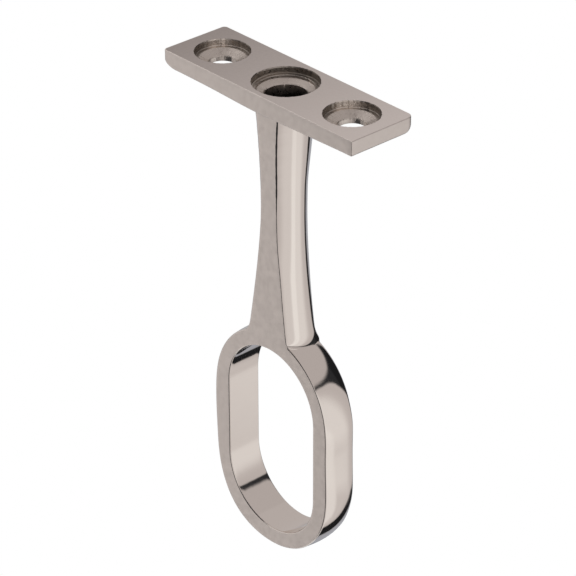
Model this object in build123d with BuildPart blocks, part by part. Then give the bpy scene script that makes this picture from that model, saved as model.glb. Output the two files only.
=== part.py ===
from build123d import *

import os

# Wardrobe rail centre support: one casting, in millimetres.
# Origin: the centre of the plate's top face, which is screwed up against the shelf.
# +Z points out of that face, X runs along the plate, and the rail runs along Y.

# Fixing plate
plate_length = 33.0
plate_width = 9.8
plate_thickness = 2.1
plate_corner_round = 0.5
plate_rim_break = 0.12

# The lower edges of the plate are softened by hand, each by a different amount
left_end_round_along = 2.3
left_end_round_up = 0.85
right_end_round = 0.3
back_lower_round = 1.0
front_lower_round = 0.15

# Screw holes: a cast recess in the top face, a ledge, a cone and the hole itself
screw_spacing = 22.6
screw_hole_radius = 1.7
recess_radius = 3.4
recess_depth = 0.87
recess_ledge_radius = 2.8
recess_cone_depth = 0.6

# Cored hole in the middle, which lightens the head of the stem
core_rim_radius = 4.1
core_rim_depth = 0.82
core_ledge_radius = 3.55
core_step_depth = 0.4
core_throat_radius = 2.65
core_throat_depth = 0.35
core_bottom_radius = 1.5
core_depth = 12.0

# Eye: a closed slot for an oval rail 15 mm wide and 25 mm high, with room to slide it through
rail_width = 15.0
rail_height = 25.0
rail_clearance_across = 0.5
rail_clearance_high = 1.2
eye_wall = 2.33
eye_depth = 4.85
eye_centre_drop = 48.9
eye_back_round = 0.9
eye_edge_break = 0.12

# Stem: a waisted column with rounded flanks, and faces in line with those of the eye
stem_head_half_width = 4.3
stem_waist_half_width = 2.3
stem_root_half_width = 4.25
stem_waist_drop = 16.3
stem_waist_ease = 3.0
stem_head_curve = 0.86
stem_root_curve = 1.29
stem_head_half_depth = 2.8
stem_flank_edge_run = 0.08
stem_root_flank_radius = 4.9
stem_flare_drop = 29.0
stem_root_sink = 1.5
stem_stations_each_way = 5

# Sizes that follow from the ones above
eye_half_width = (rail_width + rail_clearance_across) / 2
eye_half_height = (rail_height + rail_clearance_high) / 2
eye_straight = 2 * (eye_half_height - eye_half_width)
eye_half_depth = eye_depth / 2
eye_outer_half_width = eye_half_width + eye_wall
eye_top_drop = eye_centre_drop - eye_half_height - eye_wall
stem_top_drop = plate_thickness / 2
stem_root_drop = eye_top_drop + stem_root_sink
stem_head_flank_radius = stem_head_half_depth + stem_flank_edge_run
stem_reach = stem_head_half_width + stem_root_half_width
casting_drop = eye_centre_drop + eye_half_height + eye_wall
core_ledge_level = -core_rim_depth - core_step_depth
core_throat_level = core_ledge_level - core_throat_depth
recess_cone_level = -recess_depth - recess_cone_depth

os.makedirs("parts", exist_ok=True)


def waist_rise(distance, reach, curve):
    """Share of the widening at a distance from the waist: level at first, then nearly straight."""
    eased = (distance**2 + stem_waist_ease**2) ** 0.5 - stem_waist_ease
    full = (reach**2 + stem_waist_ease**2) ** 0.5 - stem_waist_ease
    return (eased / full) ** curve


def stem_half_width(drop):
    """Half the stem's width at a depth below the top face: narrow at the waist, wider to both ends."""
    if drop < stem_waist_drop:
        rise = waist_rise(stem_waist_drop - drop, stem_waist_drop, stem_head_curve)
        return stem_waist_half_width + (stem_head_half_width - stem_waist_half_width) * rise
    rise = waist_rise(drop - stem_waist_drop, stem_root_drop - stem_waist_drop, stem_root_curve)
    return stem_waist_half_width + (stem_root_half_width - stem_waist_half_width) * rise


def stem_flank_radius(drop):
    """Radius of the stem's rounded flanks, which flatten a little towards the eye."""
    share = (drop - stem_top_drop) / (stem_root_drop - stem_top_drop)
    return stem_head_flank_radius + (stem_root_flank_radius - stem_head_flank_radius) * share


def stem_station_drops():
    """Depths of the stem's sections: evenly spaced above the waist, at it, and below it."""
    steps = range(stem_stations_each_way)
    step_above = (stem_waist_drop - stem_top_drop) / stem_stations_each_way
    step_below = (stem_root_drop - stem_waist_drop) / stem_stations_each_way
    above = [stem_top_drop + step_above * i for i in steps]
    below = [stem_waist_drop + step_below * i for i in steps]
    return above + below + [stem_root_drop]


# Stem: sections with two straight faces and two rounded flanks are lofted from head to root.
# The side view then trims the faces: level with the eye below, and flared towards the plate above.
with BuildPart() as stem:
    for drop in stem_station_drops():
        flank_radius = stem_flank_radius(drop)
        apex = stem_half_width(drop)
        corner = apex - flank_radius + (flank_radius**2 - stem_head_half_depth**2) ** 0.5
        with BuildSketch(Plane.XY.offset(-drop)):
            with BuildLine():
                Line((-corner, -stem_head_half_depth), (corner, -stem_head_half_depth))
                ThreePointArc((corner, -stem_head_half_depth), (apex, 0), (corner, stem_head_half_depth))
                Line((corner, stem_head_half_depth), (-corner, stem_head_half_depth))
                ThreePointArc((-corner, stem_head_half_depth), (-apex, 0), (-corner, -stem_head_half_depth))
            make_face()
    loft()
    with BuildSketch(Plane.YZ):
        with BuildLine():
            Line((-eye_half_depth, -casting_drop), (eye_half_depth, -casting_drop))
            Line((eye_half_depth, -casting_drop), (eye_half_depth, -stem_flare_drop))
            TangentArc((eye_half_depth, -stem_flare_drop), (stem_head_half_depth, 0), tangent=(0, 1))
            Line((stem_head_half_depth, 0), (-stem_head_half_depth, 0))
            TangentArc((-eye_half_depth, -stem_flare_drop), (-stem_head_half_depth, 0), tangent=(0, 1))
            Line((-eye_half_depth, -stem_flare_drop), (-eye_half_depth, -casting_drop))
        make_face()
    extrude(amount=stem_reach, both=True, mode=Mode.INTERSECT)

# Eye: the outer slot less the rail's slot, well rounded round the back and crisp at the other edges
with BuildPart() as eye:
    with BuildSketch(Plane.XZ.offset(-eye_half_depth)):
        with Locations((0, -eye_centre_drop)):
            SlotCenterToCenter(eye_straight, 2 * eye_outer_half_width, rotation=90)
            SlotCenterToCenter(eye_straight, 2 * eye_half_width, rotation=90, mode=Mode.SUBTRACT)
    extrude(amount=eye_depth)
    fillet(eye.faces().sort_by(Axis.Y)[-1].outer_wire().edges(), eye_back_round)
    chamfer(eye.faces().sort_by(Axis.Y)[-1].inner_wires()[0].edges(), eye_edge_break)
    chamfer(eye.faces().sort_by(Axis.Y)[0].edges(), eye_edge_break)

# Plate: the front view with its two end corners, trimmed by the side view and its two lower edges
with BuildPart() as plate:
    with BuildSketch(Plane.XZ):
        with BuildLine():
            Line((-plate_length / 2, 0), (plate_length / 2, 0))
            Line((plate_length / 2, 0), (plate_length / 2, right_end_round - plate_thickness))
            JernArc((plate_length / 2, right_end_round - plate_thickness), (0, -1), right_end_round, -90)
            Line(
                (plate_length / 2 - right_end_round, -plate_thickness),
                (left_end_round_along - plate_length / 2, -plate_thickness),
            )
            EllipticalCenterArc(
                (left_end_round_along - plate_length / 2, left_end_round_up - plate_thickness),
                left_end_round_along,
                left_end_round_up,
                start_angle=180,
                arc_size=90,
            )
            Line((-plate_length / 2, left_end_round_up - plate_thickness), (-plate_length / 2, 0))
        make_face()
    extrude(amount=plate_width / 2, both=True)
    with BuildSketch(Plane.YZ):
        with BuildLine():
            Line((-plate_width / 2, 0), (plate_width / 2, 0))
            Line((plate_width / 2, 0), (plate_width / 2, back_lower_round - plate_thickness))
            JernArc((plate_width / 2, back_lower_round - plate_thickness), (0, -1), back_lower_round, -90)
            Line(
                (plate_width / 2 - back_lower_round, -plate_thickness),
                (front_lower_round - plate_width / 2, -plate_thickness),
            )
            JernArc((front_lower_round - plate_width / 2, -plate_thickness), (-1, 0), front_lower_round, -90)
            Line((-plate_width / 2, front_lower_round - plate_thickness), (-plate_width / 2, 0))
        make_face()
    extrude(amount=plate_length / 2, both=True, mode=Mode.INTERSECT)
    with BuildSketch(Plane.XY):
        RectangleRounded(plate_length, plate_width, plate_corner_round)
    extrude(amount=-plate_thickness, mode=Mode.INTERSECT)
    chamfer(plate.faces().sort_by(Axis.Z)[-1].edges(), plate_rim_break)

# The casting: plate, stem and eye are one piece, and the holes are opened in it
with BuildPart() as centre_support:
    add(plate.part)
    add(stem.part)
    add(eye.part)
    with BuildSketch(Plane.XZ) as core_section:
        with BuildLine():
            Polyline(
                (0, 0),
                (core_rim_radius, 0),
                (core_rim_radius, -core_rim_depth),
                (core_ledge_radius, -core_rim_depth),
                (core_ledge_radius, core_ledge_level),
                (core_throat_radius, core_throat_level),
                (core_bottom_radius, -core_depth),
                (0, -core_depth),
                close=True,
            )
        make_face()
    revolve(axis=Axis.Z, mode=Mode.SUBTRACT)
    for side in (-1, 1):
        screw_plane = Plane(origin=(side * screw_spacing / 2, 0, 0), x_dir=(1, 0, 0), z_dir=(0, -1, 0))
        with BuildSketch(screw_plane):
            with BuildLine():
                Polyline(
                    (0, 0),
                    (recess_radius, 0),
                    (recess_radius, -recess_depth),
                    (recess_ledge_radius, -recess_depth),
                    (screw_hole_radius, recess_cone_level),
                    (screw_hole_radius, -plate_thickness),
                    (0, -plate_thickness),
                    close=True,
                )
            make_face()
        revolve(axis=Axis((side * screw_spacing / 2, 0, 0), (0, 0, 1)), mode=Mode.SUBTRACT)

centre_support.part.label = "centre_support"
export_step(centre_support.part, "parts/centre_support.step")
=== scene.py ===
# %% [markdown]
# # Wardrobe rail centre support
#
# The object is one small casting in zinc, plated with warm nickel. A flat plate is screwed up
# against the shelf, a waisted stem hangs from it, and a closed oval eye holds the rail.
# The CAD solid gives the sizes. Here the same casting is drawn again with a fine mesh, because
# polished metal shows every facet, and it gets the marks of its making: the slightly leaning stem,
# soft and crisp edges, and the rough cast walls of the three recesses.

import math

import bmesh
import bpy
import numpy as np
from mathutils import Matrix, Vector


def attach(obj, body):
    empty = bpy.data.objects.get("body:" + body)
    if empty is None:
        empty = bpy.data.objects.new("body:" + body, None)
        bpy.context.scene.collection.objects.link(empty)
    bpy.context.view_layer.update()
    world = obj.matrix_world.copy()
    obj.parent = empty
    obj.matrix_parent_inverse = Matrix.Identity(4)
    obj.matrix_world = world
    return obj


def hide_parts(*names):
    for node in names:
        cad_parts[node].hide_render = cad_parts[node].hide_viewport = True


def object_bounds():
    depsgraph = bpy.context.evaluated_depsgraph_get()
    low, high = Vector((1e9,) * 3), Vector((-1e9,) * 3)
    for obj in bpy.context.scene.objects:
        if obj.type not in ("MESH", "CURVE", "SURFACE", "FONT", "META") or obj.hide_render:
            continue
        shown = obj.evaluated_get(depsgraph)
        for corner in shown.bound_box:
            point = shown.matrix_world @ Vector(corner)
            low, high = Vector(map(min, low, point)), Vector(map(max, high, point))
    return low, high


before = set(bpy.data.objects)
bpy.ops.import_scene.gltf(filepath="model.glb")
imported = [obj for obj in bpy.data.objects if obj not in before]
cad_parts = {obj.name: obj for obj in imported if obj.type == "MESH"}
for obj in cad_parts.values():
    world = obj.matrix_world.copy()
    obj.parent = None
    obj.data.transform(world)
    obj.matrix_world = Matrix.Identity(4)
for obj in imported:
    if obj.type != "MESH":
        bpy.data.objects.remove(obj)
cad_box = [list(map(float, corner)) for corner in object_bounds()]
print("CAD box in mm:", [[round(1000 * v, 2) for v in corner] for corner in cad_box])

# %% [markdown]
# ## Working units and small helpers
#
# Every shape below is worked out in millimetres, as a founder would write it, and scaled to metres
# once, when the mesh is made. A shape is a stack of closed loops: an array with one row for each
# loop and one column for each point round it. Joining neighbours gives the faces, so no point is
# ever handled by itself.

# %% Curves
MM = 0.001


def smooth_step(share):
    """3s^2 - 2s^3 of the share, held between 0 and 1: a soft start and a soft end."""
    share = np.clip(share, 0.0, 1.0)
    return share * share * (3.0 - 2.0 * share)


def arc(start, end, count):
    """Angles from start to end in degrees, returned in radians."""
    return np.radians(np.linspace(start, end, count))


print("halfway up a smooth step:", smooth_step(0.5))


# %% Loops to meshes
def loops_to_mesh(name, points, finish, caps=None, ring=False):
    """Joins each point to its neighbour round the loop and to the same point of the next loop.

    points is loops x points x 3 in mm. finish gives the material number of each strip of faces,
    one for each step round the loop. One flat face closes each end, with the material numbers of
    caps, or ring joins the last loop to the first instead.
    """
    loops, around = points.shape[:2]
    number = np.arange(loops * around).reshape(loops, around)
    upper = number if ring else number[:-1]
    lower = np.roll(number, -1, axis=0) if ring else number[1:]
    quads = np.stack([upper, np.roll(upper, -1, axis=1), np.roll(lower, -1, axis=1), lower], axis=-1)
    faces = quads.reshape(-1, 4).tolist()
    slots = np.tile(np.broadcast_to(finish, around), len(upper)).tolist()
    if not ring:
        faces += [number[0, ::-1].tolist(), number[-1].tolist()]
        slots += caps or [slots[0], slots[0]]
    mesh = bpy.data.meshes.new(name)
    mesh.from_pydata((points.reshape(-1, 3) * MM).tolist(), [], faces)
    for material in finishes:
        mesh.materials.append(material)
    mesh.polygons.foreach_set("material_index", slots)
    shell = bmesh.new()
    shell.from_mesh(mesh)
    bmesh.ops.recalc_face_normals(shell, faces=shell.faces)
    shell.to_mesh(mesh)
    shell.free()
    shape = bpy.data.objects.new(name, mesh)
    bpy.context.collection.objects.link(shape)
    print(f"{name}: {len(mesh.polygons)} faces")
    return shape


# %% [markdown]
# ## The metal
#
# A metal shows little but what it mirrors, so nickel is a warm base colour, full Metallic and a
# roughness. A painted image could carry the grain and the stains, but it would have to be unwrapped
# over the whole casting. Nodes that read the object's own coordinates need no unwrapping: a noise
# roughens the metal, and a ramp along an axis paints its tone darker from one end to the other, as
# shade.

# %% Nickel and noise
NICKEL = (0.78, 0.72, 0.675)


def nickel(name, roughness):
    """A metal shader of the plating's colour, with its node tree for adding relief."""
    material = bpy.data.materials.new(name)
    material.use_nodes = True
    shader = material.node_tree.nodes["Principled BSDF"]
    shader.inputs["Base Color"].default_value = (*NICKEL, 1)
    shader.inputs["Metallic"].default_value = 1.0
    shader.inputs["Roughness"].default_value = roughness
    return material, material.node_tree, shader


def noise(tree, stretch, scale, detail=2.0):
    """A noise over the object's own coordinates, stretched by the three factors."""
    place = tree.nodes.new("ShaderNodeTexCoord")
    mapping = tree.nodes.new("ShaderNodeMapping")
    mapping.inputs["Scale"].default_value = stretch
    texture = tree.nodes.new("ShaderNodeTexNoise")
    texture.inputs["Scale"].default_value = scale
    texture.inputs["Detail"].default_value = detail
    tree.links.new(place.outputs["Object"], mapping.inputs["Vector"])
    tree.links.new(mapping.outputs["Vector"], texture.inputs["Vector"])
    return texture.outputs["Fac"]


# %% Relief and roughness from a noise
def relief(tree, shader, layers):
    """Bump layers in a chain, each a height, a strength and a distance in metres."""
    before = None
    for height, strength, distance in layers:
        bump = tree.nodes.new("ShaderNodeBump")
        bump.inputs["Strength"].default_value = strength
        bump.inputs["Distance"].default_value = distance
        tree.links.new(height, bump.inputs["Height"])
        if before:
            tree.links.new(before, bump.inputs["Normal"])
        before = bump.outputs["Normal"]
    tree.links.new(before, shader.inputs["Normal"])


def vary(tree, shader, socket, height, low, high):
    """Lets a socket follow a noise, from low to high, over the middle two fifths of the noise."""
    ramp = tree.nodes.new("ShaderNodeMapRange")
    ramp.inputs["From Min"].default_value = 0.3
    ramp.inputs["From Max"].default_value = 0.7
    ramp.inputs["To Min"].default_value = low
    ramp.inputs["To Max"].default_value = high
    tree.links.new(height, ramp.inputs["Value"])
    tree.links.new(ramp.outputs["Result"], shader.inputs[socket])


# %% Tints that follow a place
def along(tree, axis, start, end):
    """A share that runs from 0 to 1 along one of the object's own axes, between two places in mm."""
    place = tree.nodes.new("ShaderNodeTexCoord")
    split = tree.nodes.new("ShaderNodeSeparateXYZ")
    ramp = tree.nodes.new("ShaderNodeMapRange")
    ramp.inputs["From Min"].default_value = start * MM
    ramp.inputs["From Max"].default_value = end * MM
    tree.links.new(place.outputs["Object"], split.inputs[0])
    tree.links.new(split.outputs[axis], ramp.inputs["Value"])
    return ramp.outputs["Result"]


def tint(tree, share, thin, full, over=None):
    """A colour that follows a share, from thin to full. If over is given, it stands for full."""
    blend = tree.nodes.new("ShaderNodeMix")
    blend.data_type = "RGBA"
    colour_a, colour_b = [socket for socket in blend.inputs if socket.type == "RGBA"]
    colour_a.default_value = (*thin, 1)
    colour_b.default_value = (*full, 1)
    tree.links.new(share, blend.inputs["Factor"])
    if over:
        tree.links.new(over, colour_b)
    return [socket for socket in blend.outputs if socket.type == "RGBA"][0]


# %% [markdown]
# ## Linished flats, a rubbed top and polished flanks
#
# The casting was finished on a belt and a mop. The belt leaves a fine, even satin on the flats: a
# bump of a few hundredths of a millimetre with a roughness about a third. The plate's top was
# rubbed once more, so its grain is coarser, and its tone is painted darker towards the left end, as
# shade. The plate's right end face is painted darker as shade too. The mop made the flanks and the
# eye's walls mirrors, with the slight waviness that only handwork has.

# %% The worked finishes
plate_end = round(cad_box[1][0] / MM, 2)
end_face_start, end_face_full = plate_end - 0.2, plate_end - 0.02
# The plate's right end face is painted darker with this colour, as shade.
end_face_painted_shade = (0.62, 0.565, 0.53)
# The plate's top is painted with these colours, darker towards its left end, as shade.
top_left_painted_shade, top_right_painted_light = (0.46, 0.415, 0.39), (0.82, 0.76, 0.72)


def linished():
    """Even satin: a fine grain a tenth of a millimetre across. The plate's right end face is painted
    darker, as shade.
    """
    material, tree, shader = nickel("nickel_linished", 0.34)
    colour = tint(tree, along(tree, "X", end_face_start, end_face_full), NICKEL, end_face_painted_shade)
    tree.links.new(colour, shader.inputs["Base Color"])
    relief(tree, shader, [(noise(tree, (1, 1, 1), 9000, 3), 0.10, 0.00002)])
    vary(tree, shader, "Roughness", noise(tree, (1, 1, 1), 1400), 0.30, 0.40)
    return material


def rubbed_and_shaded():
    """The plate's top: the same satin with a coarser speckled grain, and a painted shade that darkens it
    towards the left end.
    """
    material, tree, shader = nickel("nickel_rubbed_shaded", 0.36)
    relief(tree, shader, [(noise(tree, (1, 1, 1), 6000, 4), 0.22, 0.00003)])
    vary(tree, shader, "Roughness", noise(tree, (1, 1, 1), 2500, 3), 0.28, 0.46)
    colour = tint(tree, along(tree, "X", -plate_end, plate_end), top_left_painted_shade, top_right_painted_light)
    tree.links.new(colour, shader.inputs["Base Color"])
    return material


def polished():
    """Mirror with a slight hand-made waviness, and faint scratches round the flanks."""
    material, tree, shader = nickel("nickel_polished", 0.06)
    waviness = noise(tree, (1, 1, 0.5), 420)
    scratches = noise(tree, (0.12, 0.12, 6), 900, 3)
    relief(tree, shader, [(waviness, 0.25, 0.00006), (scratches, 0.06, 0.00002)])
    vary(tree, shader, "Roughness", noise(tree, (1, 1, 4), 300), 0.045, 0.09)
    return material


# %% [markdown]
# ## The skin of the recesses
#
# No belt reaches into the recesses, so they keep the skin of the mould: streaks down the walls and
# pits on the ledges. A hollow mirrors its own walls again and again, and relief alone left them too
# even. So their light and shade are painted into the colour: a ramp across each recess paints how
# light or dark its wall is, from its left end to its right end, the ledges are painted darker and
# the throat of the core black, as shade, and the streaks are laid over it.

# %% Painted light and shade across a recess
VIEW_TURN = math.radians(48)
recess_reach = 3.4


def painted_light_across_recess(tree, centre_x, painted_levels):
    """Painted light and shade for each place across a recess, from its left end to its right end in the
    picture.

    The place is the dot product of the object's coordinates with a level direction, turned from
    the X axis by the camera's own turn. painted_levels holds pairs of a share of the way and a level
    of painted light, and each level gets the warmth of the plating.
    """
    place = tree.nodes.new("ShaderNodeTexCoord")
    sideways = tree.nodes.new("ShaderNodeVectorMath")
    sideways.operation = "DOT_PRODUCT"
    sideways.inputs[1].default_value = (math.cos(VIEW_TURN), math.sin(VIEW_TURN), 0)
    spread = tree.nodes.new("ShaderNodeMapRange")
    middle = centre_x * math.cos(VIEW_TURN)
    spread.inputs["From Min"].default_value = (middle - recess_reach) * MM
    spread.inputs["From Max"].default_value = (middle + recess_reach) * MM
    shading = tree.nodes.new("ShaderNodeValToRGB")
    while len(shading.color_ramp.elements) < len(painted_levels):
        shading.color_ramp.elements.new(0.5)
    for stop, (position, level) in zip(shading.color_ramp.elements, painted_levels):
        stop.position = position
        stop.color = (level, 0.90 * level, 0.82 * level, 1)
    tree.links.new(place.outputs["Object"], sideways.inputs[0])
    tree.links.new(sideways.outputs["Value"], spread.inputs["Value"])
    tree.links.new(spread.outputs["Result"], shading.inputs["Fac"])
    return shading.outputs["Color"]


# %% The cast skin, with painted shade
# The ledge and throat colours are painted shade; the streak colour is the cast skin's own.
ledge_painted_shade, streak_tint, throat_painted_shade = (0.60, 0.545, 0.50), (0.34, 0.30, 0.26), (0.015, 0.013, 0.012)
ledge_level, wall_foot = -0.93, -0.83
throat_dark, throat_light = -3.2, -1.8


def cast_skin_with_painted_shade(name, centre_x, painted_levels):
    """The skin of one recess: streaks over painted light and shade across the wall, ledges painted darker
    and the throat painted black deep down, as shade.
    """
    material, tree, shader = nickel(name, 0.3)
    streaks = noise(tree, (1, 1, 0.12), 1500, 4)
    pits = noise(tree, (1, 1, 1), 2600, 3)
    relief(tree, shader, [(streaks, 0.30, 0.00012), (pits, 0.18, 0.00005)])
    vary(tree, shader, "Roughness", pits, 0.24, 0.40)
    # The wall: painted light and shade across the recess, with the streaks laid over it.
    wall = tint(tree, streaks, streak_tint, (1, 1, 1), painted_light_across_recess(tree, centre_x, painted_levels))
    # The ledges are painted darker, as shade.
    skin_with_painted_shade = tint(tree, along(tree, "Z", ledge_level, wall_foot), ledge_painted_shade, (1, 1, 1), wall)
    # Deep in the throat the colour is painted black, as shade.
    throat_shaded = tint(tree, along(tree, "Z", throat_dark, throat_light), throat_painted_shade, (1, 1, 1), skin_with_painted_shade)
    tree.links.new(throat_shaded, shader.inputs["Base Color"])
    return material


# %% The list of finishes
screw_offset = 11.3
# Painted light and shade across each recess: pairs of a share of the way and a level of painted light.
left_painted_light = [(0.0, 0.20), (0.20, 0.35), (0.30, 0.95), (0.62, 0.90), (0.85, 0.30), (1.0, 0.12)]
right_painted_light = [(0.0, 0.25), (0.18, 0.40), (0.26, 1.00), (0.60, 0.95), (0.78, 0.25), (1.0, 0.15)]
core_painted_light = [(0.0, 0.55), (0.25, 0.45), (0.50, 0.35), (0.75, 0.25), (0.90, 0.20), (1.0, 0.15)]
LINISHED, POLISHED, RUBBED_SHADED, LEFT_CAST_SHADED, RIGHT_CAST_SHADED, CORE_CAST_SHADED = range(6)
finishes = [linished(), polished(), rubbed_and_shaded()]
finishes.append(cast_skin_with_painted_shade("nickel_cast_left_shaded", -screw_offset, left_painted_light))
finishes.append(cast_skin_with_painted_shade("nickel_cast_right_shaded", screw_offset, right_painted_light))
finishes.append(cast_skin_with_painted_shade("nickel_cast_core_shaded", 0.0, core_painted_light))
print([material.name for material in finishes])

# %% [markdown]
# ## How the casting leans
#
# A small casting is held by hand against the belt, so it isn't quite straight: from the plate down,
# the stem drifts a quarter of a millimetre to the left and to the front, and the eye goes with it.
# Its left flank is also fuller than its right one, most of all just above the eye.

# %% Sizes of the casting, in mm
cad_low, cad_high = cad_box
plate_length = round((cad_high[0] - cad_low[0]) / MM, 2)
plate_width = round((cad_high[1] - cad_low[1]) / MM, 2)
plate_thickness = 2.1
eye_drop, eye_straight = 48.9, 10.7
eye_front, eye_back = 2.35, 2.6
eye_inner_radius = 7.75
eye_outer_half_width, eye_outer_rise, eye_outer_straight = 10.25, 10.93, 9.2
lean_left, lean_front, lean_drop = 0.24, 0.21, 34.0


def lean(drop):
    """How far the casting has drifted in x and y at a depth below the plate's face."""
    share = smooth_step(drop / lean_drop)
    return -lean_left * share, -lean_front * share


print("plate:", plate_length, "by", plate_width, "mm; lean at the eye:", lean(eye_drop))

# %% [markdown]
# ## The stem
#
# A section through the stem has a flat front and back, and two polished flanks. It could be lofted
# through a few sections, but a mirror would show each of them as a band. So the width, the depth
# and the roundings are smooth functions of the drop below the plate's face, and a section is worked
# out every quarter of a millimetre. First comes the width: narrow at the waist, wider to both ends.

# %% How wide the stem is
stem_head, stem_waist, stem_root = 3.45, 2.40, 3.91
stem_waist_drop, stem_root_drop = 16.2, 35.0
waist_ease = 3.0
stem_head_curve, stem_root_curve = 1.75, 1.52
left_extra_waist, left_extra_root = 0.23, 0.69


def waist_rise(distance, reach):
    """The height of a hyperbola over its vertex, as a share of its height at the given reach.

    That is sqrt(d^2 + e^2) - e for a distance d from the waist: level at first, then nearly straight.
    """
    distance = np.clip(distance, 0, None)
    return (np.hypot(distance, waist_ease) - waist_ease) / (np.hypot(reach, waist_ease) - waist_ease)


def below_waist(drop):
    """The share of the way from the waist down to the root."""
    return np.clip((drop - stem_waist_drop) / (stem_root_drop - stem_waist_drop), 0, 1)


def half_width(drop):
    """Widens from the waist up to the head and down to the eye, each by a power of the rise."""
    up = waist_rise(stem_waist_drop - drop, stem_waist_drop) ** stem_head_curve
    down = waist_rise(drop - stem_waist_drop, stem_root_drop - stem_waist_drop) ** stem_root_curve
    return stem_waist + (stem_head - stem_waist) * up + (stem_root - stem_waist) * down


def left_extra(drop):
    """How much fuller the left flank is: a little at the waist, growing to the root."""
    above = left_extra_waist * smooth_step(drop / stem_waist_drop)
    below = left_extra_waist + (left_extra_root - left_extra_waist) * below_waist(drop)
    return np.where(drop < stem_waist_drop, above, below)


for drop in (0.0, stem_waist_drop, stem_root_drop):
    left, right = half_width(drop) + left_extra(drop), half_width(drop)
    print(f"{drop} mm down, the stem reaches {left:.2f} mm to the left and {right:.2f} mm to the right")

# %% [markdown]
# From the side, the stem is as deep as the eye below and flares towards the plate. Its head has a
# shape of its own, called the shoulder here: it is deeper, and rounder behind. The belt has left
# the front edges crisp but a little uneven near the plate, and the mop has softened the back ones.

# %% How deep it is, and how round its edges are
head_flare, head_flare_curve = 0.80, 2.2
shoulder_from, shoulder_fade, shoulder_depth = 14.5, 8.5, 0.12
front_round_head, front_round_root = 0.42, 0.14
dull_from, dull_fade = 17.2, 5.0
stem_back_round_head, stem_back_round_root = 0.35, 0.85


def shoulder(drop):
    """Share of the head's own shape: all of it near the plate, and none from the waist down."""
    return smooth_step((shoulder_from - drop) / shoulder_fade)


def front_depth(drop):
    """As deep as the eye, and deeper towards the head by a power of the height."""
    flare = head_flare * np.clip(1 - drop / stem_root_drop, 0, 1) ** head_flare_curve
    return eye_front + flare + shoulder_depth * shoulder(drop)


def back_depth(drop):
    """The same behind, where the eye is a little deeper."""
    return front_depth(drop) + (eye_back - eye_front) * smooth_step(drop / stem_root_drop)


def front_round(drop):
    """The front edge is dulled near the plate, unevenly by two waves, and nearly sharp below."""
    dull = smooth_step((dull_from - drop) / dull_fade)
    uneven = 1 + 0.10 * np.sin(2.9 * drop) + 0.06 * np.sin(7.3 * drop + 1)
    return (front_round_root + (front_round_head - front_round_root) * dull) * uneven


def back_round(drop):
    """Polishing has softened the stem's back edges more and more towards the eye."""
    softer = smooth_step(drop / stem_root_drop)
    return stem_back_round_head + (stem_back_round_root - stem_back_round_head) * softer


depths = [round(float(front_depth(drop)), 2) for drop in (0.0, stem_root_drop)]
print("front depth at the head and at the root, in mm:", depths)

# %% [markdown]
# ### One flank
#
# A mirror shows how a surface turns, and hardly where it is. So the front part of a flank is drawn
# from its normal, which turns evenly from the front edge to the crest, where the flank is widest.
# Behind the crest, an arc of a circle is enough, because only its outline shows in the picture.

# %% The section's curves
def circle_part(centre_x, centre_y, radius, start, end, count):
    """Points on a circle round a centre, with their angles evenly spaced from start to end."""
    turn = start + (end - start) * np.linspace(0, 1, count)[None, :]
    return centre_x + radius * np.cos(turn), centre_y + radius * np.sin(turn)


def front_flank(apex, crest, depth, edge, roll):
    """The flank from the front edge back to its crest, which lies at x = apex and y = crest.

    The normal's angle falls evenly from edge to nothing, apart from a share called roll, which
    follows the eighth power of the way and so turns only close to the edge. The points are the
    running sums of that angle's sine and cosine, scaled to the given depth.
    """
    share = np.linspace(1, 0, 33)[None, :]
    angle = edge * ((1 - roll) * share + roll * share**8)
    middle = (angle[:, 1:] + angle[:, :-1]) / 2
    length = depth / np.cos(middle).sum(axis=1, keepdims=True)
    behind_x = np.cumsum((length * np.sin(middle))[:, ::-1], axis=1)[:, ::-1]
    behind_y = np.cumsum((length * np.cos(middle))[:, ::-1], axis=1)[:, ::-1]
    return apex - behind_x, crest - behind_y


# %% One side of the section
head_front_radius, edge_turn_head, crest_ease = 4.15, math.radians(42), 0.2
flank_radius_head, flank_radius_root, flank_radius_curve = 3.35, 4.98, 1.70
shoulder_back_radius = 1.60


def flank_radius(drop):
    """The radius behind the crest: even down to the waist, and larger from there to the root."""
    flatter = below_waist(drop) ** flank_radius_curve
    return flank_radius_head + (flank_radius_root - flank_radius_head) * flatter


def flank_side(apex, drop, edge, roll):
    """One side of the section, from front to back: front rounding, flank and back rounding.

    Each rounding is a circle that touches the flat face and the flank. The crest lies in the middle
    of the depth, and moves to the front by half of d + sqrt(d^2 + e^2) as the stem gets deeper by d
    than the head's front radius allows.
    """
    front, back, crisp, soft = front_depth(drop), back_depth(drop), front_round(drop), back_round(drop)
    deeper = front - head_front_radius * math.sin(edge_turn_head)
    crest = -(deeper + np.hypot(deeper, crest_ease)) / 2
    flank_x, flank_y = front_flank(apex, crest, front + crest - crisp * (1 - np.sin(edge)), edge, roll)
    crisp_x = flank_x[:, :1] - crisp * np.cos(edge)
    back_radius = flank_radius(drop) + shoulder_back_radius * shoulder(drop)
    centre = apex - back_radius
    soft_x = centre + np.sqrt((back_radius - soft) ** 2 - (back - crest - soft) ** 2)
    soft_turn = np.arctan2(back - crest - soft, soft_x - centre)
    square = math.pi / 2
    crisp_part = circle_part(crisp_x, crisp - front, crisp, -square, -edge, 7)
    back_part = circle_part(centre, crest, back_radius, 0.0, soft_turn, 25)
    soft_part = circle_part(soft_x, back - soft, soft, soft_turn, square, 9)
    x = [crisp_part[0][:, :-1], flank_x, back_part[0][:, :-1], soft_part[0]]
    y = [crisp_part[1][:, :-1], flank_y, back_part[1][:, :-1], soft_part[1]]
    return np.concatenate(x, axis=1), np.concatenate(y, axis=1)


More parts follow.
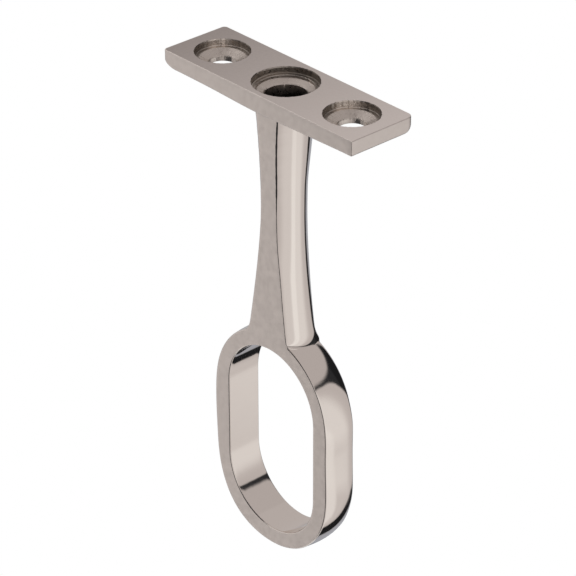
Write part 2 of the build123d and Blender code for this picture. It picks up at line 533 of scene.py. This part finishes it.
# %% [markdown]
# ### Down to the eye
#
# Just above the eye the flanks sweep out into a small fillet. A bevel on the joined bodies would be
# the usual way, but it fails where a flank runs out into the eye's round. Here the stem itself
# grows wider by an amount that dies away with the height over the eye's wall.

# %% The sweep into the eye
crease_front, crease_back, crease_left = 0.15, 0.42, 0.30


def eye_top(x):
    """Height of the eye's outer wall over the plate's face, for a distance x from its middle."""
    rise = eye_outer_rise * np.sqrt(np.clip(1 - (x / eye_outer_half_width) ** 2, 0, 1))
    return -eye_drop + eye_outer_straight / 2 + rise


def sweep_out(x, drop, crease):
    """Moves each point out by its crease times exp(-h / crease), for a height h over the eye.

    That height depends on where the point ends up, so a few rounds of averaging settle it.
    """
    size = np.maximum(np.abs(crease), 0.01)
    plain_x = x
    for _ in range(6):
        height = np.maximum(-drop - eye_top(np.abs(x)), -0.5 * size)
        x = (x + plain_x + crease * np.exp(-height / size)) / 2
    return x


print("top of the eye:", round(float(eye_top(0.0)), 2), "mm")

# %% Build the stem
edge_turn_low, edge_roll = math.radians(48), 0.25
edge_turn_from, edge_turn_fade = 11.0, 6.0
roll_from, roll_fade = 20.0, 6.0
stem_top_drop, dense_drop, stem_end_drop, dense_step = 1.0, 33.0, 35.2, 0.05


def build_stem():
    """Stacks the sections from inside the plate to inside the eye's wall, closest near the eye."""
    upper = np.linspace(stem_top_drop, dense_drop, 130)
    lower = np.linspace(dense_drop + dense_step, stem_end_drop, 50)
    drop = np.concatenate([upper, lower])[:, None]
    front, back = front_depth(drop), back_depth(drop)
    steeper = smooth_step((drop - edge_turn_from) / edge_turn_fade)
    edge_right = edge_turn_head + (edge_turn_low - edge_turn_head) * steeper
    edge_left = np.minimum(np.arcsin(front / np.maximum(flank_radius(drop), 1.02 * front)), edge_right)
    roll = edge_roll * smooth_step((drop - roll_from) / roll_fade)
    right_x, right_y = flank_side(half_width(drop), drop, edge_right, roll)
    left_x, left_y = flank_side(half_width(drop) + left_extra(drop), drop, edge_left, 0.0)
    flat = np.linspace(0, 1, 10)[None, 1:-1]
    front_x = -left_x[:, :1] + (right_x[:, :1] + left_x[:, :1]) * flat
    back_x = right_x[:, -1:] - (right_x[:, -1:] + left_x[:, -1:]) * flat
    x = np.concatenate([front_x, right_x, back_x, -left_x[:, ::-1]], axis=1)
    y = np.concatenate([0 * front_x - front, right_y, 0 * back_x + back, left_y[:, ::-1]], axis=1)
    right_start, right_end = flat.shape[1], flat.shape[1] + right_x.shape[1]
    left_start = right_end + flat.shape[1]
    crease = np.zeros(x.shape[1])
    crease[right_start:right_end] = np.linspace(crease_front, crease_back, right_x.shape[1])
    crease[left_start:] = -crease_left
    finish = np.full(x.shape[1], LINISHED)
    finish[right_start : right_end - 1] = POLISHED
    finish[left_start:-1] = POLISHED
    shift_x, shift_y = lean(drop)
    x = sweep_out(x, drop, crease) + shift_x
    points = np.stack([x, y + shift_y, np.broadcast_to(-drop, x.shape)], axis=-1)
    return loops_to_mesh("stem", points, finish)


stem = build_stem()

# %% [markdown]
# ## The eye
#
# The inner wall is a true slot, because the rail slides in it. The outer wall was polished by hand,
# so its ends are flatter than half circles, and it is fuller at a few places, most of all at the
# lower left. A section of the wall is carried round: at every step of the path it is stretched
# between the inner and the outer curve.

# %% The paths round the eye
outer_bumps = [(0.36, 170.0, 30.0), (0.66, 242.0, 19.0), (0.19, 330.0, 34.0), (0.15, 44.0, 28.0)]


def slot_path(radius_x, rise, straight, bend_steps=72, straight_steps=24):
    """A closed path in x and z: half an ellipse over a straight run, and the same turned over."""
    over = arc(0, 180, bend_steps + 1)
    under = arc(180, 360, bend_steps + 1)
    run = np.linspace(1, -1, straight_steps + 1)[1:-1] * straight / 2
    x = [radius_x * np.cos(over), 0 * run - radius_x, radius_x * np.cos(under), 0 * run + radius_x]
    z = [straight / 2 + rise * np.sin(over), run, rise * np.sin(under) - straight / 2, -run]
    return np.concatenate(x)[:, None], np.concatenate(z)[:, None]


def growth(x, z):
    """How much fuller the outer wall is in a direction from the eye's middle: a sum of soft bumps.

    Each bump is its size in mm times exp(-(a / spread)^2), for an angle a from its middle.
    """
    turn = np.degrees(np.arctan2(z, x)) % 360
    return sum(size * np.exp(-(((turn - middle) / spread) ** 2)) for size, middle, spread in outer_bumps)


def soften(path):
    """Each point becomes the mean of its neighbours, so a bend starts and ends gently."""
    return sum(np.roll(path, shift, axis=0) for shift in range(-5, 6)) / 11


def outer_path():
    """The outer curve: a slot with elliptical ends, with the bumps added and then softened."""
    x, z = slot_path(eye_outer_half_width, eye_outer_rise, eye_outer_straight)
    fuller = 1 + growth(x, z) / np.hypot(x, z)
    return soften(x * fuller), soften(z * fuller)


print("lowest point of the eye:", round(float(outer_path()[1].min() - eye_drop), 2), "mm")

# %% [markdown]
# The wall's outer side is drawn from its normal as well, because the light along it shows how it
# turns: nearly flat in front and more and more round behind, where the mop could reach.

# %% The section of the wall
eye_crisp_round = 0.15
crown_front, crown_back, crown_gather = -7.0, 20.0, 1.8


def outer_side(soft):
    """The outer side: its distance from the inner wall and its depth, from front to back.

    The normal's angle follows a power of the way from front to back. The profile is the running
    sum of minus its tangent, laid so that its highest point is at the full thickness of the wall.
    """
    turn_front, turn_back = math.radians(crown_front), math.radians(crown_back)
    share = np.linspace(0, 1, 33)[None, :]
    back_end = eye_back - soft * (1 - math.sin(turn_back))
    front_end = eye_crisp_round * (1 + math.sin(turn_front)) - eye_front
    normal = turn_front + (turn_back - turn_front) * share**crown_gather
    slope = np.tan((normal[:, 1:] + normal[:, :-1]) / 2)
    fall = np.concatenate([np.zeros((1, 1)), np.cumsum(slope, axis=1) / 32], axis=1)
    fall = fall * (back_end - front_end)
    fall = fall - fall.min(axis=1, keepdims=True)
    wall = eye_outer_half_width - eye_inner_radius
    return np.stack([wall - fall, front_end + (back_end - front_end) * share])


def wall_section(soft):
    """The eye's wall cut across, for each step of the path, as distance from the inner wall and depth.

    A curve of the given softness joins the outer side to the back. Small quarter circles make the
    three other corners, and straight runs of eleven steps close the section.
    """
    side = outer_side(soft)
    crisp = eye_crisp_round
    soft_x = side[0, :, -1:] - soft * math.cos(math.radians(crown_back))
    crisp_x = side[0, :, :1] - crisp * math.cos(math.radians(crown_front))
    corners = [
        (soft_x, eye_back - soft, soft, arc(crown_back, 90, 13)),
        (crisp + 0 * soft, eye_back - crisp, crisp, arc(90, 180, 9)),
        (crisp + 0 * soft, crisp - eye_front, crisp, arc(180, 270, 9)),
        (crisp_x, crisp - eye_front, crisp, arc(270, 360 + crown_front, 9)),
    ]
    bends = [side]
    for across, depth, radius, turn in corners:
        bends.append(np.stack([across + radius * np.cos(turn), depth + radius * np.sin(turn) + 0 * soft]))
    between = np.linspace(0, 1, 12)[None, None, 1:-1]
    inner_wall = 2
    points, finish = [], []
    for number, bend in enumerate(bends):
        finish += [POLISHED] * (bend.shape[2] - 1)
        if number in (0, len(bends) - 1):
            points.append(bend[:, :, :-1])
            continue
        following = bends[number + 1][:, :, :1]
        points += [bend, bend[:, :, -1:] + (following - bend[:, :, -1:]) * between]
        finish += [POLISHED if number == inner_wall else LINISHED] * 11
    section = np.concatenate(points, axis=2)
    return section[0] / (eye_outer_half_width - eye_inner_radius), section[1], np.array(finish)


# %% Build the eye
eye_back_round_straight, eye_back_round_bend = 0.40, 0.75
bend_start, bend_length = 1.0, 4.0


def build_eye():
    """Every point lies on the line from the inner path to the outer path, at the section's share."""
    inner_x, inner_z = slot_path(eye_inner_radius, eye_inner_radius, eye_straight)
    outer_x, outer_z = outer_path()
    bend = smooth_step((np.abs(outer_z) - eye_straight / 2 + bend_start) / bend_length)
    soft = eye_back_round_straight + (eye_back_round_bend - eye_back_round_straight) * bend
    across, depth, finish = wall_section(soft)
    shift_x, shift_y = lean(eye_drop)
    x = inner_x + (outer_x - inner_x) * across + shift_x
    z = inner_z + (outer_z - inner_z) * across - eye_drop
    y = np.broadcast_to(depth + shift_y, x.shape)
    return loops_to_mesh("eye", np.stack([x, y, z], axis=-1), finish, ring=True)


eye = build_eye()

# %% [markdown]
# ## The plate
#
# A cube with bevels would give the plate one rounding all over, but the real one differs at each
# edge and corner. So the plate is a stack of rounded rectangles. Each one is drawn in from the four
# sides by its own amount, which depends only on the height: the rim is broken all round at the
# top, and below, each side has the rounding that the hand gave it, from a long soft one at the left
# end to an almost sharp one in front. The plate is also a little thicker where the stem hangs.

# %% The outline of the plate
corner_rounds = (0.06, 0.9, 0.5, 0.5)


def plate_outline():
    """The plate's outline in four rows: shares of its length and width, and steps in x and y.

    It starts in front on the left. Points along a side share its run from 0 to 1. Points round a
    corner keep the corner's own shares, and step in from it: by the corner's radius times cos - 1
    at the right end or cos + 1 at the left, and times sin + 1 in front or sin - 1 behind.
    """
    long_run, short_run = np.linspace(0.03, 0.97, 78), np.linspace(0.1, 0.9, 26)
    sides = [(long_run, 0), (1, short_run), (long_run[::-1], 1), (0, short_run[::-1])]
    corners = [(1, 0), (1, 1), (0, 1), (0, 0)]
    columns = []
    for side, corner, radius, start in zip(sides, corners, corner_rounds, (270, 0, 90, 180)):
        share_x, share_y = np.broadcast_arrays(*side)
        columns.append(np.stack([share_x, share_y, 0 * share_x, 0 * share_x]))
        turn = arc(start, start + 90, 11)
        step_x = radius * (np.cos(turn) + 1 - 2 * corner[0])
        step_y = radius * (np.sin(turn) + 1 - 2 * corner[1])
        columns.append(np.stack([corner[0] + 0 * turn, corner[1] + 0 * turn, step_x, step_y]))
    return np.concatenate(columns, axis=1)


print("points round the plate:", plate_outline().shape[1])

# %% Build the plate
rim_round, rounded_height = 0.10, 1.2
left_round_along, left_round_up = 2.3, 0.85
right_end_round, back_lower_round, front_lower_round = 0.3, 1.0, 0.15
middle_swell, middle_reach = 0.28, 6.5
end_thinning, thinning_from, thinning_fade = 0.12, 9.0, 7.0


def drawn_in(height, inward, up):
    """How far an elliptical rounding has drawn a side in, at a height over the plate's underside."""
    return inward * (1 - np.sqrt(np.clip(1 - (np.clip(1 - height / up, 0, 1)) ** 2, 0, 1)))


def build_plate():
    """Stretches the outline between the four sides at each height, and swells it in the middle.

    The swell is a bell curve along the length, and the right end is thinner by a smooth step.
    """
    rim = rim_round * (1 - np.cos(arc(0, 90, 8)))
    low = rounded_height * (1 - np.cos(arc(90, 0, 30)))
    height = np.concatenate([plate_thickness - rim, low])[:, None]
    top_break = drawn_in(plate_thickness - height, rim_round, rim_round)
    left = -plate_length / 2 + drawn_in(height, left_round_along, left_round_up) + top_break
    right = plate_length / 2 - drawn_in(height, right_end_round, right_end_round) - top_break
    front = -plate_width / 2 + drawn_in(height, front_lower_round, front_lower_round) + top_break
    back = plate_width / 2 - drawn_in(height, back_lower_round, back_lower_round) - top_break
    share_x, share_y, step_x, step_y = (row[None, :] for row in plate_outline())
    x = left + (right - left) * share_x + step_x
    y = front + (back - front) * share_y + step_y
    swell = middle_swell * np.exp(-((x / middle_reach) ** 2))
    swell = swell - end_thinning * smooth_step((x - thinning_from) / thinning_fade)
    z = (height - plate_thickness) * (1 + swell / plate_thickness)
    return loops_to_mesh("plate", np.stack([x, y, z], axis=-1), LINISHED, caps=[RUBBED_SHADED, LINISHED])


plate = build_plate()

# %% [markdown]
# ## The three recesses
#
# The recesses are left by cores in the mould. Their walls are rough: the metal flowed round the
# cores in streaks that run down the wall, and the rims are ragged. A plain cylinder with a bump on
# it would keep a perfect rim. So a recess is made as a solid of revolution, to be cut out of the
# casting, and its radius is changed by a sum of waves round the circle.

# %% Waves round a circle
def waves(turn, counts, seed):
    """A sum of cosines round the circle with whole numbers of waves, seeded phases and uneven weights."""
    chance = np.random.default_rng(seed)
    phase = chance.uniform(0, 2 * math.pi, len(counts))
    weight = chance.uniform(0.5, 1.0, len(counts))
    total = np.cos(turn[:, None] * np.array(counts)[None, :] + phase[None, :]) @ weight
    return total / np.sqrt((weight**2).sum() / 2)


def streaked(turn, height, seed):
    """The wall's movement outwards, as a share: long streaks, and a grain that drifts with height."""
    long_streaks = waves(turn, [3, 5, 8, 13, 17, 23, 31, 42], seed)[None, :]
    fine_grain = np.zeros((len(height), len(turn)))
    for level in range(3):
        drift = waves(turn, [29 + 6 * level, 41 + 5 * level, 57, 71], seed + 10 + level)[None, :]
        fine_grain += drift * np.cos(height * (9.0 + 7.0 * level) + seed + level)
    depth_fade = np.clip(1.0 + height / 3.0, 0.25, 1.0)
    return depth_fade * (0.75 * long_streaks + 0.28 * fine_grain)


print("waves swing by", round(float(np.ptp(waves(arc(0, 360, 100), [3, 5, 8], 1))), 2))

# %% Build the cutters
points_round, wall_step, most_steps = 256, 0.06, 24
screw_profile = [
    (3.46, 0.4), (3.46, 0.02), (3.38, -0.12), (3.36, -0.80), (3.28, -0.87), (2.86, -0.89),
    (2.74, -0.95), (1.78, -1.45), (1.70, -1.55), (1.70, -2.6),
]
core_profile = [
    (4.16, 0.4), (4.16, 0.02), (4.08, -0.12), (4.04, -0.76), (3.96, -0.82), (3.60, -0.84),
    (3.54, -0.90), (3.52, -1.20), (3.44, -1.26), (2.74, -1.54), (2.62, -1.66), (1.50, -12.0),
]


def build_cutter(name, profile, centre_x, streak, seed, finish):
    """Turns a profile of (radius, height) corners round a vertical axis, with streaked walls.

    Each run of the profile is divided into short steps, and each point moves in or out by streak
    times its share. Below the plate's face, a quarter of that movement also lifts the point.
    """
    corners = np.array(profile)
    rows = [corners[:1]]
    for start, end in zip(corners[:-1], corners[1:]):
        steps = min(max(1, int(np.hypot(*(end - start)) / wall_step)), most_steps)
        rows.append(start + (end - start) * np.linspace(0, 1, steps + 1)[1:, None])
    rows = np.concatenate(rows)
    turn = np.linspace(0, 2 * math.pi, points_round, endpoint=False)
    height = rows[:, 1:]
    swing = streak * streaked(turn, height, seed)
    radius = rows[:, :1] + swing
    x = centre_x + radius * np.cos(turn)
    y = radius * np.sin(turn)
    z = height + 0.25 * np.abs(swing) * (height < 0)
    return loops_to_mesh(name, np.stack([x, y, z], axis=-1), finish)


cutters = [
    build_cutter("left_recess", screw_profile, -screw_offset, 0.020, 3, LEFT_CAST_SHADED),
    build_cutter("right_recess", screw_profile, screw_offset, 0.024, 5, RIGHT_CAST_SHADED),
    build_cutter("core_recess", core_profile, 0.0, 0.022, 8, CORE_CAST_SHADED),
]

# %% [markdown]
# ## One casting
#
# The three bodies could simply overlap, but then the flats would flicker where they meet and each
# fillet would end in a seam. So they are joined, and the recesses cut, with boolean modifiers. The
# result is a single closed skin, as the metal is. Each face keeps the finish of the body or cutter
# it came from. The normals are then weighted by face area, which keeps the large flats truly flat
# and lets only the narrow roundings turn the light.

# %% Join and cut
casting = bpy.data.objects.new("casting", plate.data.copy())
bpy.context.collection.objects.link(casting)
for tool, operation in [(stem, "UNION"), (eye, "UNION")] + [(cutter, "DIFFERENCE") for cutter in cutters]:
    step = casting.modifiers.new(tool.name, "BOOLEAN")
    step.object = tool
    step.operation = operation
    step.solver = "MANIFOLD"
    bpy.context.view_layer.update()
    result = casting.evaluated_get(bpy.context.evaluated_depsgraph_get())
    joined = bpy.data.meshes.new_from_object(result)
    casting.modifiers.clear()
    casting.data = joined
    print(f"after {tool.name}: {len(joined.polygons)} faces")
for tool in [plate, stem, eye] + cutters:
    bpy.data.objects.remove(tool)

# %% Shade it, attach it and hide the CAD part it stands for
sharp_angle = math.radians(35)
casting.data.name = "casting"
casting.data.shade_smooth()
casting.data.set_sharp_from_angle(angle=sharp_angle)
weighting = casting.modifiers.new("even_normals", "WEIGHTED_NORMAL")
weighting.keep_sharp = True
weighting.weight = 80

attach(casting, "root")
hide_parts("centre_support")
print("casting:", len(casting.data.vertices), "points,", len(casting.data.materials), "finishes")

# %% [markdown]
# ## The studio
#
# A mirror shows its room, so the room is most of the picture. The camera sees plain white behind
# the object. Area lamps alone would leave the flanks black with a few bright spots. So the object
# hangs in a tent that only mirrors see: everything in it is pale except where a card stands.
# Beige cards give the flats their even tone, and black ones draw the dark lines down the stem and
# round the eye. Each card is a patch of a sphere round the object, given by its directions.

# %% White where it is seen
def white_where_seen(tree, shader_output, white_type, target):
    """Camera, mirror and glass rays see plain white of strength 1, and all others see the shader."""
    path = tree.nodes.new("ShaderNodeLightPath")
    seen = path.outputs["Is Camera Ray"]
    for kind in ("Is Glossy Ray", "Is Transmission Ray"):
        either = tree.nodes.new("ShaderNodeMath")
        either.operation = "MAXIMUM"
        tree.links.new(seen, either.inputs[0])
        tree.links.new(path.outputs[kind], either.inputs[1])
        seen = either.outputs[0]
    white = tree.nodes.new(white_type)
    white.inputs["Color"].default_value = (1, 1, 1, 1)
    white.inputs["Strength"].default_value = 1.0
    mix = tree.nodes.new("ShaderNodeMixShader")
    tree.links.new(seen, mix.inputs[0])
    tree.links.new(shader_output, mix.inputs[1])
    tree.links.new(white.outputs[0], mix.inputs[2])
    tree.links.new(mix.outputs[0], target)


# %% World and floor
world = bpy.data.worlds.new("tent")
bpy.context.scene.world = world
world.use_nodes = True
backdrop = world.node_tree.nodes["Background"]
backdrop.inputs["Color"].default_value = (1, 1, 1, 1)
backdrop.inputs["Strength"].default_value = 0.7
world_surface = world.node_tree.nodes["World Output"].inputs["Surface"]
white_where_seen(world.node_tree, backdrop.outputs[0], "ShaderNodeBackground", world_surface)

floor_level, floor_reach = -0.45, 3.0
floor_mesh = bpy.data.meshes.new("floor")
floor_corners = floor_reach * np.array([[-1, -1, 0], [1, -1, 0], [1, 1, 0], [-1, 1, 0]])
floor_mesh.from_pydata((floor_corners + [0, 0, floor_level]).tolist(), [], [(0, 1, 2, 3)])
floor = bpy.data.objects.new("floor", floor_mesh)
bpy.context.collection.objects.link(floor)
paper = bpy.data.materials.new("paper")
paper.use_nodes = True
paper_shader = paper.node_tree.nodes["Principled BSDF"]
paper_shader.inputs["Base Color"].default_value = (0.86, 0.86, 0.86, 1)
paper_shader.inputs["Roughness"].default_value = 0.9
paper_surface = paper.node_tree.nodes["Material Output"].inputs["Surface"]
white_where_seen(paper.node_tree, paper_shader.outputs[0], "ShaderNodeEmission", paper_surface)
floor_mesh.materials.append(paper)
print("floor", round(-floor_level * 1000), "mm below the plate's face")

# %% [markdown]
# ### Painting the tent
#
# The tent is a globe with a colour at every degree. Azimuth 0 is the +X side, 90 is the +Y side
# and -42 is where the camera stands. An upright face that looks in the direction a mirrors the tent
# at 42 + 2a, some 30 degrees below the level. That rule turns every tone measured along a flank
# into a place for a card.

# %% A brush for cards
tent_turn, tent_lift = np.meshgrid(np.linspace(-180, 180, 361), np.linspace(-90, 90, 181), indexing="ij")
fabric_colour = np.ones((*tent_turn.shape, 3))
card_power = 8.0


def warm(level):
    """Warm paper under a lamp: the darker it is, the pinker."""
    return level * np.array([1.0, 0.93 + 0.13 * (level - 0.5), 0.915 + 0.13 * (level - 0.5)])


def cool(level):
    """Paper in the shade, lit by the sky: a shade of lavender."""
    return level * np.array([0.97, 1.0, 1.1])


def paint(colour, azimuth, elevation, soft, slant=0.0, upright_at=-17.0):
    """Paints a card on the tent: a rounded box between two azimuths and two elevations in degrees.

    soft is the width of the card's blurred edge in azimuth and in elevation. The outline is a
    superellipse, |x|^p + |y|^p = 1, where a power p of 2 is an ellipse and one of 8 is nearly a
    rectangle. slant leans the card by that many degrees of azimuth for each degree of elevation
    above upright_at, towards the lower azimuths.
    """
    middle_turn, middle_lift = sum(azimuth) / 2, sum(elevation) / 2
    half_turn, half_lift = (azimuth[1] - azimuth[0]) / 2, (elevation[1] - elevation[0]) / 2
    across = (tent_turn + slant * (tent_lift - upright_at) - middle_turn + 180) % 360 - 180
    upward = tent_lift - middle_lift
    powers = np.abs(across / half_turn) ** card_power + np.abs(upward / half_lift) ** card_power
    size = powers ** (1 / card_power)
    steep = np.hypot(across / half_turn, upward / half_lift) + 1e-6
    edge = np.hypot(soft[0] * across / half_turn**2, soft[1] * upward / half_lift**2) / steep
    cover = smooth_step((1 - size) / edge + 0.5)[..., None]
    fabric_colour[:] = fabric_colour + cover * (colour - fabric_colour)


# %% The cards behind the object and on its left
# A dim ceiling, for the rims and the tops of the roundings
paint(warm(0.34), (-200, 200), (46, 120), soft=(6, 8))
# Front left: the fronts of the plate, the stem and the eye
paint(warm(0.66), (-190, -122), (-62, 50), soft=(6, 6))
# Behind and above: the top of the plate
paint(warm(0.57), (98, 190), (-14, 75), soft=(8, 6))
# Behind and below: the thin lavender edge at the right outline
paint(cool(0.27), (108, 196), (-80, -14), soft=(10, 30))
paint(cool(0.42), (96, 128), (-74, -4), soft=(6, 10))
print("mean colour so far:", fabric_colour.reshape(-1, 3).mean(axis=0).round(3))

# %% The cards on the right, for the flanks and the eye
# A black band at eye level and a beige one over it: the shoulder and the lower bend of the eye
paint(cool(0.03), (-60, 100), (-20, 50), soft=(4, 8))
paint(warm(0.54), (-60, 104), (32, 80), soft=(8, 6))
# A black flag: the dark line down the right side of the stem and the eye
paint(cool(0.015), (60, 97), (-80, 30), soft=(5, 10))
# The beige floor of the tent and its wall, which leans as the flanks do
paint(warm(0.60), (-64, 76), (-110, -26), soft=(4, 6), slant=-0.5, upright_at=-35)
paint(warm(0.60), (-72, 76), (-38, 28), soft=(4, 2.5), slant=0.8)
# A black flag to the left of the camera: the dark line down the stem's front edge
paint(cool(0.03), (-124, -58), (-62, 60), soft=(12, 8))
# From the flank's even tone up to its highlight, and the same for the walls of the eye
paint(warm(0.77), (-44, 50), (-40, 22), soft=(40, 12), slant=0.8)
paint(warm(0.86), (0, 47), (-34, 22), soft=(20, 12), slant=0.8)
paint(warm(0.69), (-20, 60), (-90, -38), soft=(12, 12))
paint(warm(0.89), (1, 18), (-90, -20), soft=(5, 12), slant=0.8)
paint(warm(0.97), (1, 19), (-30, 20), soft=(6, 12), slant=0.8)
print("tent colours from", round(float(fabric_colour.min()), 3), "to", round(float(fabric_colour.max()), 3))

# %% The tent's globe
tent_radius = 0.33
tent_centre = np.array([0.0, 0.0, -0.034])
number = np.arange(tent_turn.size).reshape(tent_turn.shape)
tent_faces = np.stack([number[:-1, :-1], number[1:, :-1], number[1:, 1:], number[:-1, 1:]], axis=-1)
turn, lift = np.radians(tent_turn), np.radians(tent_lift)
direction = np.stack([np.cos(turn) * np.cos(lift), np.sin(turn) * np.cos(lift), np.sin(lift)], axis=-1)
tent_points = tent_centre + tent_radius * direction.reshape(-1, 3)
tent_mesh = bpy.data.meshes.new("tent")
tent_mesh.from_pydata(tent_points.tolist(), [], tent_faces.reshape(-1, 4).tolist())
paint_layer = tent_mesh.color_attributes.new("paint", "FLOAT_COLOR", "POINT")
colours = np.concatenate([fabric_colour.reshape(-1, 3), np.ones((tent_turn.size, 1))], axis=1)
paint_layer.data.foreach_set("color", colours.ravel())
print("tent:", len(tent_mesh.polygons), "faces")

# %% Hang the tent
fabric = bpy.data.materials.new("tent_fabric")
fabric.use_nodes = True
fabric_tree = fabric.node_tree
fabric_tree.nodes.remove(fabric_tree.nodes["Principled BSDF"])
glow = fabric_tree.nodes.new("ShaderNodeEmission")
painted = fabric_tree.nodes.new("ShaderNodeAttribute")
painted.attribute_name = "paint"
fabric_tree.links.new(painted.outputs["Color"], glow.inputs["Color"])
fabric_tree.links.new(glow.outputs[0], fabric_tree.nodes["Material Output"].inputs["Surface"])
tent_mesh.materials.append(fabric)
tent = bpy.data.objects.new("tent", tent_mesh)
bpy.context.collection.objects.link(tent)
tent.visible_camera = False
tent.visible_diffuse = False
tent.visible_shadow = False

# %% [markdown]
# ### Lamps
#
# The tent gives every reflection. Two large soft lamps only add the broad glow that satin and rough
# metal show, from above on both sides of the camera.

# %% Lamps
def soft_lamp(name, position, size, power):
    """A square soft lamp that faces the object."""
    light = bpy.data.lights.new(name, "AREA")
    light.size = size
    light.energy = power
    lamp = bpy.data.objects.new(name, light)
    away = np.array(position) - tent_centre
    away = away / np.linalg.norm(away)
    side = np.cross([0, 0, 1], away)
    side = side / np.linalg.norm(side)
    axes = np.stack([side, np.cross(away, side), away], axis=1)
    lamp.matrix_world = Matrix.Translation(position) @ Matrix(axes.tolist()).to_4x4()
    bpy.context.collection.objects.link(lamp)
    print(f"{name}: {power} W, {size} m wide")


soft_lamp("key", (-0.5, -0.5, 1.0), 0.5, 4.0)
soft_lamp("fill", (0.8, -0.4, 0.7), 0.6, 2.5)

# %% [markdown]
# ## The camera
#
# The photograph was taken with a long lens from the front right, 30 degrees above the object. The
# numbers come from a fit of the plate's corners, the three circles, the slot and the stem's lines.
# The focal length and the place of the object's origin are in pixels of an image 576 pixels wide.

# %% Camera
azimuth, elevation, roll = (math.radians(angle) for angle in (47.99, 29.94, -0.17))
focal_px, image_px, px_per_mm = 2954.0, 576, 8.55
origin_right_px, origin_up_px = -2.06, 206.56

level = np.array([-math.sin(azimuth), math.cos(azimuth), 0.0])
look = level * math.cos(elevation) - np.array([0.0, 0.0, math.sin(elevation)])
right = np.array([math.cos(azimuth), math.sin(azimuth), 0.0])
up = np.cross(right, look)
rolled_right = right * math.cos(roll) + up * math.sin(roll)
rolled_up = up * math.cos(roll) - right * math.sin(roll)
eye_point = -(origin_right_px * rolled_right + origin_up_px * rolled_up + focal_px * look) / px_per_mm * MM

lens = bpy.data.cameras.new("camera")
lens.sensor_width = 36.0
lens.lens = lens.sensor_width * focal_px / image_px
camera = bpy.data.objects.new("camera", lens)
axes = np.stack([rolled_right, rolled_up, -look], axis=1)
camera.matrix_world = Matrix.Translation(eye_point) @ Matrix(axes.tolist()).to_4x4()
bpy.context.collection.objects.link(camera)
bpy.context.scene.camera = camera
bpy.context.scene.view_settings.view_transform = "Standard"
print("camera at", [round(float(v), 4) for v in eye_point], "lens", round(lens.lens, 1), "mm")
